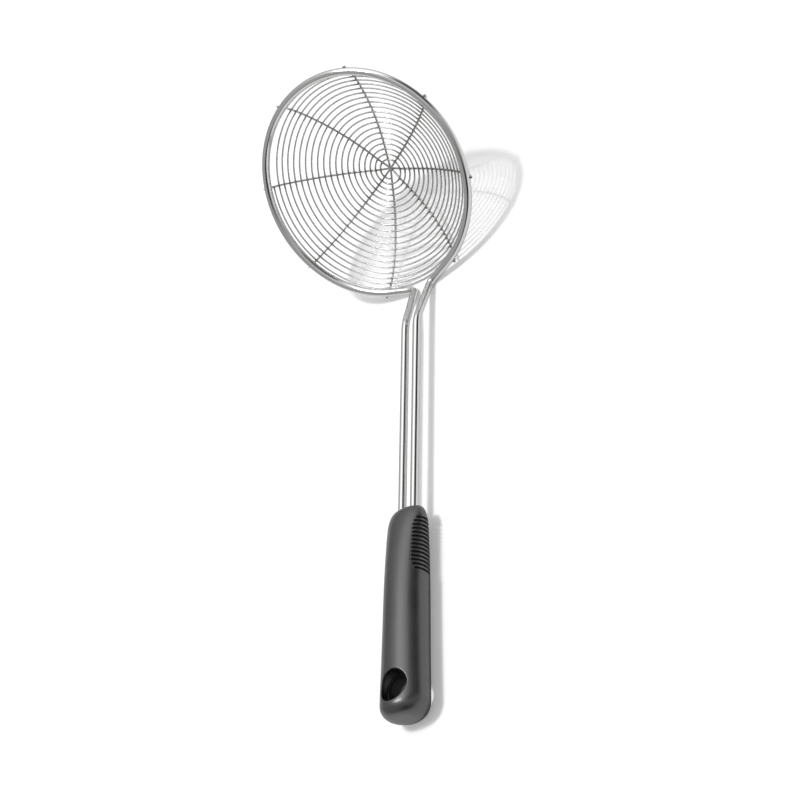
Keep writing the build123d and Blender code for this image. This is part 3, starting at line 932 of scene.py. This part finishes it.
class SKIMMER_OT_stage(Operator):
    """Make the floor, the soft light and the camera"""

    bl_idname = "skimmer.stage"
    bl_label = "Stage"

    def execute(self, context):
        stage, wires = context.scene.skimmer_stage, context.scene.skimmer_wires
        self.floor(stage)
        self.sky(context, stage)
        self.lamps(stage)
        self.camera(context, stage, hoop_place(wires)[0])
        context.scene.view_settings.view_transform = "Standard"
        return {"FINISHED"}

    def floor(self, stage):
        """A wide, plain, pale floor."""
        half = stage.floor_width / 2
        corners = [(-half, -half, 0.0), (half, -half, 0.0), (half, half, 0.0), (-half, half, 0.0)]
        mesh = bpy.data.meshes.new("floor")
        mesh.from_pydata(corners, [], [(0, 1, 2, 3)])
        material, tree = new_material("Pale floor")
        matte = add_node(tree, "BsdfDiffuse", {"Color": (*stage.floor, 1.0)})
        path = add_node(tree, "LightPath").outputs
        lift = add_node(tree, "Math", {0: path["Is Camera Ray"], 1: stage.lift}, operation="MULTIPLY")
        glow = add_node(tree, "Emission", {"Strength": lift.outputs[0]})
        both = add_node(tree, "AddShader", {0: matte.outputs[0], 1: glow.outputs[0]})
        add_node(tree, "OutputMaterial", {"Surface": both.outputs[0]})
        mesh.materials.append(material)
        add_object("floor", mesh)

    def sky(self, context, stage):
        """Soft light from all round, white behind the skimmer, and in reflections a room with its cards.

        A card lies in the way towards it, full within its first angle and gone past its second.
        """
        world = bpy.data.worlds.new("Studio")
        world.use_nodes = True
        tree = world.node_tree
        tree.nodes.clear()
        path = add_node(tree, "LightPath").outputs
        way = add_node(tree, "TexCoord").outputs["Generated"]
        cards = (
            ((0.26, 0.46, 0.85), 18.0, 76.0, stage.ceiling),
            ((0.13, 0.48, 0.87), 8.0, 32.0, stage.softbox),
            ((0.74, 0.55, 0.36), 14.0, 27.0, stage.dark),
            ((0.68, 0.20, 0.70), 14.0, 31.0, stage.dusk),
            ((0.20, -0.96, 0.14), 8.0, 36.0, stage.dark),
            ((-0.56, -0.35, 0.75), 8.0, 34.0, stage.pale),
        )
        mirror, white = stage.room, (1.0, 1.0, 1.0, 1.0)
        for towards, inner, outer, strength in cards:
            facing = add_node(tree, "VectorMath", {0: way, 1: towards}, operation="DOT_PRODUCT")
            edges = np.cos(np.radians((outer, inner)))
            inputs = {"Value": facing.outputs["Value"], "From Min": edges[0], "From Max": edges[1]}
            cover = add_node(tree, "MapRange", inputs, interpolation_type="SMOOTHSTEP")
            mix = add_node(tree, "Mix", {0: cover.outputs["Result"], 2: mirror, 3: strength})
            mirror = mix.outputs[0]
        soft, mirrored, plain = (
            add_node(tree, "Background", {"Color": white, "Strength": strength}).outputs[0]
            for strength in (stage.sky, mirror, 1.0)
        )
        reflected = add_node(tree, "MixShader", {0: path["Is Glossy Ray"], 1: soft, 2: mirrored})
        ways = {0: path["Is Camera Ray"], 1: reflected.outputs[0], 2: plain}
        seen = add_node(tree, "MixShader", ways)
        add_node(tree, "OutputWorld", {"Surface": seen.outputs[0]})
        context.scene.world = world

    def lamps(self, stage):
        """Two overhead lamps in one place: a small one, and a soft one that the steel mirrors too."""
        small = ("Small lamp", stage.lamp * stage.lamp_share, stage.lamp_angle, False)
        soft = ("Soft lamp", stage.lamp * (1 - stage.lamp_share), stage.soft_angle, True)
        for name, strength, wide, mirrored in (small, soft):
            light = bpy.data.lights.new(name, "SUN")
            light.energy = strength
            light.angle = wide
            lamp = add_object(name, light)
            lamp.rotation_mode = "QUATERNION"
            lamp.rotation_quaternion = stage.lamp_lean.to_track_quat("-Z", "Y")
            lamp.visible_glossy = mirrored

    def camera(self, context, stage, middle):
        """The camera, placed from the middle of the hoop."""
        view = bpy.data.cameras.new("Camera")
        view.lens = stage.lens
        view.sensor_width = 36.0
        view.clip_end = 100.0
        camera = add_object("Camera", view)
        camera.location = middle + np.array(stage.camera_place)
        camera.rotation_euler = Euler(stage.camera_turn)
        context.scene.camera = camera


class SKIMMER_PT_panel(Panel):
    """Lists the skimmer's pieces and its stage"""

    bl_label = "Spider skimmer"
    bl_idname = "SKIMMER_PT_panel"
    bl_space_type = "VIEW_3D"
    bl_region_type = "UI"
    bl_category = "Skimmer"

    def draw(self, context):
        for operator in operators:
            self.layout.operator(operator.bl_idname)


sizes = {
    "skimmer_wires": FrameWireSizes,
    "skimmer_basket": BasketSizes,
    "skimmer_grip": GripSizes,
    "skimmer_looks": SkimmerLooks,
    "skimmer_stage": StageSizes,
}
operators = (
    SKIMMER_OT_frame_wire,
    SKIMMER_OT_spiral_wire,
    SKIMMER_OT_rib_wires,
    SKIMMER_OT_welds,
    SKIMMER_OT_grip,
    SKIMMER_OT_core,
    SKIMMER_OT_stage,
)


def register():
    for kind in (*sizes.values(), *operators, SKIMMER_PT_panel):
        bpy.utils.register_class(kind)
    for name, kind in sizes.items():
        setattr(bpy.types.Scene, name, PointerProperty(type=kind))


def unregister():
    for name in sizes:
        delattr(bpy.types.Scene, name)
    for kind in reversed((*sizes.values(), *operators, SKIMMER_PT_panel)):
        bpy.utils.unregister_class(kind)


def main():
    """Makes every piece and the stage."""
    register()
    bpy.ops.skimmer.frame_wire()
    bpy.ops.skimmer.spiral_wire()
    bpy.ops.skimmer.rib_wires()
    bpy.ops.skimmer.welds()
    bpy.ops.skimmer.grip()
    bpy.ops.skimmer.core()
    bpy.ops.skimmer.stage()
    bpy.context.view_layer.update()


if __name__ == "__main__":
    main()
